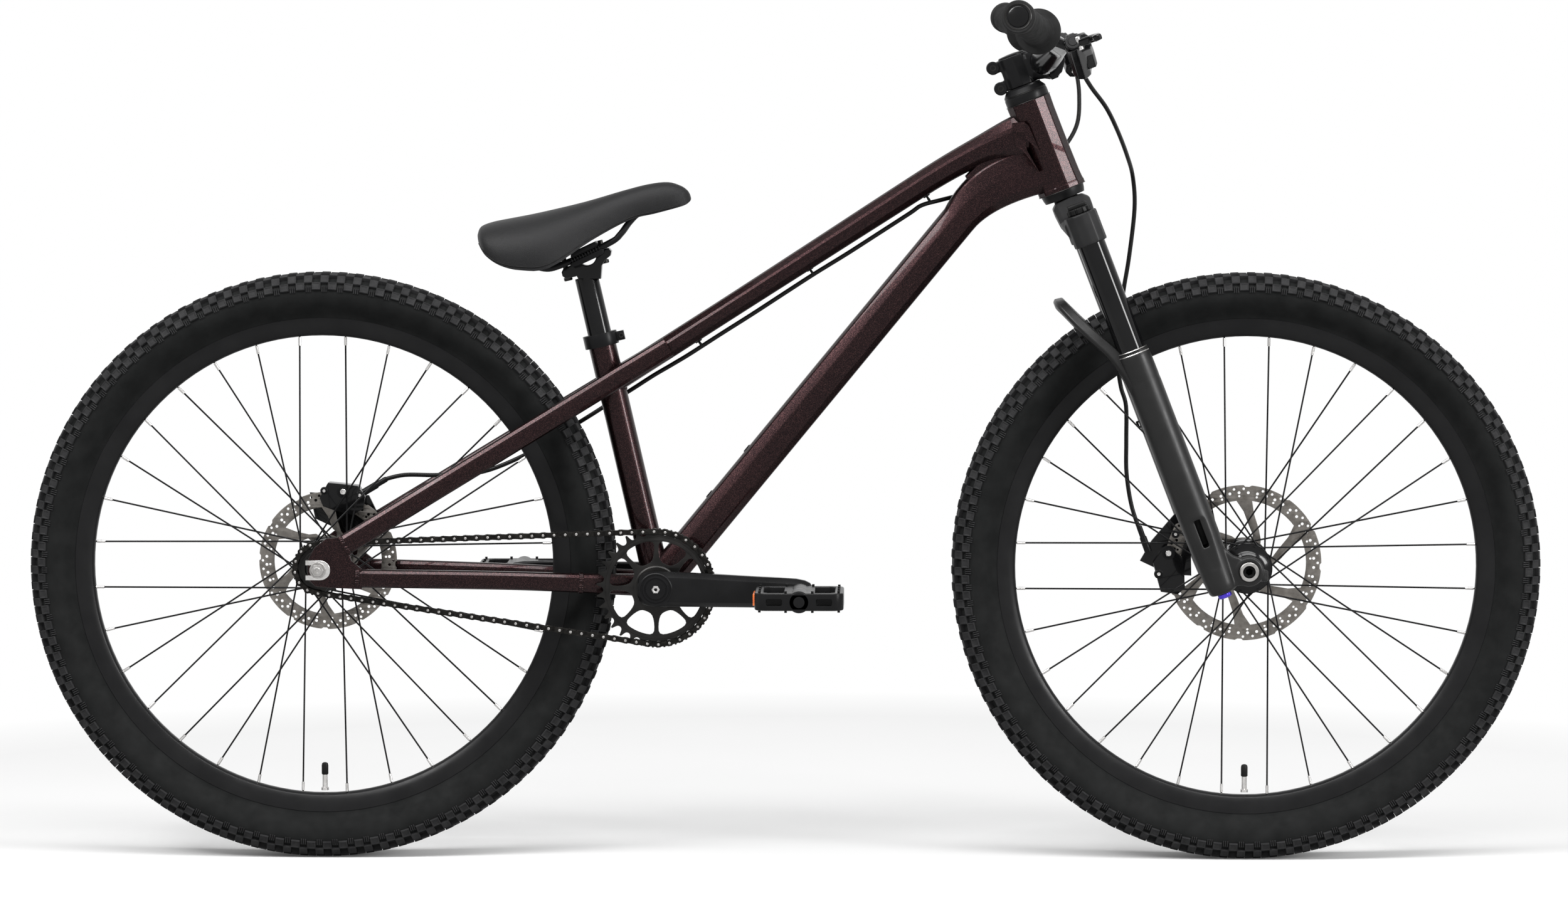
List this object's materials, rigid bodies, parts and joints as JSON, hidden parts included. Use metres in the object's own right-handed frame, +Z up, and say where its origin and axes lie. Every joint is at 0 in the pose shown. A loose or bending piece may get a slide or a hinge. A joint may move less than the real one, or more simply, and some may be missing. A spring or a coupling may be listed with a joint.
{
  "type": "dirt jump bike",
  "caption": "Dirt jump bike with a low sloping frame, suspension fork, single-speed chain drive, disc brakes, flat bar and slick saddle.",
  "frame": {"origin": "on the ground, midway between the two wheels and midway between the handlebar ends", "axes": "+X points forward from the rear wheel to the front wheel, +Y to the rider's left, +Z up"},
  "size_m": [1.734, 0.7698, 0.984],
  "materials": {
    "frame_paint": "gloss metallic dark burgundy with fine sparkle",
    "black_metal": "satin black anodised",
    "crown_black": "textured satin black",
    "stanchion_black": "gloss black anodised",
    "lowers_black": "gloss black paint",
    "bar_black": "satin black paint",
    "brake_black": "semi-gloss black",
    "crank_black": "gloss black plated",
    "hub_black": "gloss black hub with black spokes and bright nipples",
    "rim_black": "satin black anodised",
    "rotor_steel": "ground stainless steel",
    "chain_steel": "dark oiled steel",
    "steel": "bright zinc plated steel",
    "rail_steel": "satin black steel",
    "hose_sheath": "satin black sheath",
    "saddle_cover": "matt black cover with a soft sheen",
    "grip_rubber": "matt black ribbed rubber",
    "tyre_rubber": "matt black knobbed rubber",
    "valve_black": "black rubber stem with a black cap",
    "pedal_black": "satin black with bright pins",
    "knob_violet": "anodised blue violet"
  },
  "bodies": {
    "frame": {"head_tube": "frame_paint", "top_tube": "frame_paint", "down_tube": "frame_paint", "seat_tube": "frame_paint", "bottom_bracket_shell": "frame_paint", "bottom_bracket": "black_metal", "chainstay_right": "frame_paint", "chainstay_left": "frame_paint", "seatstay_right": "frame_paint", "seatstay_left": "frame_paint", "dropout_right": "frame_paint", "dropout_left": "frame_paint", "seat_clamp": "black_metal", "headset_cup_upper": "black_metal", "headset_cup_lower": "black_metal", "rear_axle": "steel", "rear_caliper": "black_metal", "rear_hose": "hose_sheath", "chain": "chain_steel"},
    "seatpost": {"seatpost": "black_metal"},
    "saddle": {"saddle": "saddle_cover", "saddle_rails": "rail_steel", "saddle_clamp": "black_metal"},
    "steering": {"fork_crown": "crown_black", "stanchion_right": "stanchion_black", "stanchion_left": "stanchion_black", "stem": "black_metal", "stem_faceplate": "black_metal", "headset_top_cap": "black_metal", "handlebar": "bar_black", "grip_right": "grip_rubber", "grip_left": "grip_rubber", "lever_body_right": "brake_black", "lever_body_left": "brake_black", "front_hose": "hose_sheath"},
    "brake_lever_right": {"brake_lever_right": "brake_black"},
    "brake_lever_left": {"brake_lever_left": "brake_black"},
    "fork_lowers": {"fork_lowers": "lowers_black", "front_thru_axle": "black_metal", "front_caliper": "black_metal"},
    "front_wheel": {"front_tyre": "tyre_rubber", "front_rim": "rim_black", "front_hub": "hub_black", "front_rotor": "rotor_steel", "front_valve": "valve_black"},
    "rear_wheel": {"rear_tyre": "tyre_rubber", "rear_rim": "rim_black", "rear_hub": "hub_black", "rear_rotor": "rotor_steel", "rear_valve": "valve_black"},
    "freewheel": {"freewheel_cog": "chain_steel"},
    "crank": {"crank_arm_right": "crank_black", "crank_arm_left": "crank_black", "chainring": "black_metal", "pedal_axle_right": "steel", "pedal_axle_left": "steel"},
    "pedal_right": {"pedal_right": "pedal_black"},
    "pedal_left": {"pedal_left": "pedal_black"},
    "compression_knob": {"compression_knob": "black_metal"},
    "rebound_knob": {"rebound_knob": "knob_violet"}
  },
  "joints": [
    {"name": "steering", "type": "hinge", "parent": "frame", "child": "steering", "pos_m": [0.3182, 0, 0.76874], "axis": [-0.3584, 0, 0.9336], "range_deg": [-75, 75], "deforming": ["rear_hose"]},
    {"name": "fork_travel", "type": "slide", "parent": "steering", "child": "fork_lowers", "axis": [-0.3584, 0, 0.9336], "range_m": [0, 0.1], "stiffness_N_per_m": 4000, "deforming": ["front_hose"]},
    {"name": "front_wheel_spin", "type": "hinge", "parent": "fork_lowers", "child": "front_wheel", "pos_m": [0.53, 0, 0.33697], "axis": [0, 1, 0], "continuous": true},
    {"name": "rear_wheel_spin", "type": "hinge", "parent": "frame", "child": "rear_wheel", "pos_m": [-0.53, 0, 0.33697], "axis": [0, 1, 0], "continuous": true},
    {"name": "crank_spin", "type": "hinge", "parent": "frame", "child": "crank", "pos_m": [-0.14499, 0, 0.31507], "axis": [0, 1, 0], "continuous": true, "deforming": ["chain"]},
    {"name": "freewheel_spin", "type": "hinge", "parent": "frame", "child": "freewheel", "pos_m": [-0.53, 0, 0.33697], "axis": [0, 1, 0], "continuous": true},
    {"name": "pedal_right_spin", "type": "hinge", "parent": "crank", "child": "pedal_right", "pos_m": [0.01997, -0.1346, 0.31161], "axis": [0, 1, 0], "continuous": true},
    {"name": "pedal_left_spin", "type": "hinge", "parent": "crank", "child": "pedal_left", "pos_m": [-0.30995, 0.1346, 0.31853], "axis": [0, 1, 0], "continuous": true},
    {"name": "seatpost_height", "type": "slide", "parent": "frame", "child": "seatpost", "axis": [-0.225, 0, 0.9744], "range_m": [-0.05, 0.045]},
    {"name": "saddle_tilt", "type": "hinge", "parent": "seatpost", "child": "saddle", "pos_m": [-0.22433, 0, 0.68903], "axis": [0, 1, 0], "range_deg": [-10, 12]},
    {"name": "lever_pull_right", "type": "hinge", "parent": "steering", "child": "brake_lever_right", "pos_m": [0.33026, -0.219, 0.93683], "axis": [0.3584, 0, -0.9336], "range_deg": [0, 20], "stiffness_Nm_per_rad": 0.4},
    {"name": "lever_pull_left", "type": "hinge", "parent": "steering", "child": "brake_lever_left", "pos_m": [0.33026, 0.219, 0.93683], "axis": [-0.3584, 0, 0.9336], "range_deg": [0, 20], "stiffness_Nm_per_rad": 0.4},
    {"name": "compression_dial", "type": "hinge", "parent": "steering", "child": "compression_knob", "pos_m": [0.33427, -0.065, 0.7492], "axis": [-0.3584, 0, 0.9336], "range_deg": [0, 270]},
    {"name": "rebound_dial", "type": "hinge", "parent": "fork_lowers", "child": "rebound_knob", "pos_m": [0.50306, -0.065, 0.30949], "axis": [-0.3584, 0, 0.9336], "range_deg": [0, 540]}
  ],
  "couplings": [
    {"joint": "freewheel_spin", "follows": "crank_spin", "ratio": 2.2857}
  ]
}
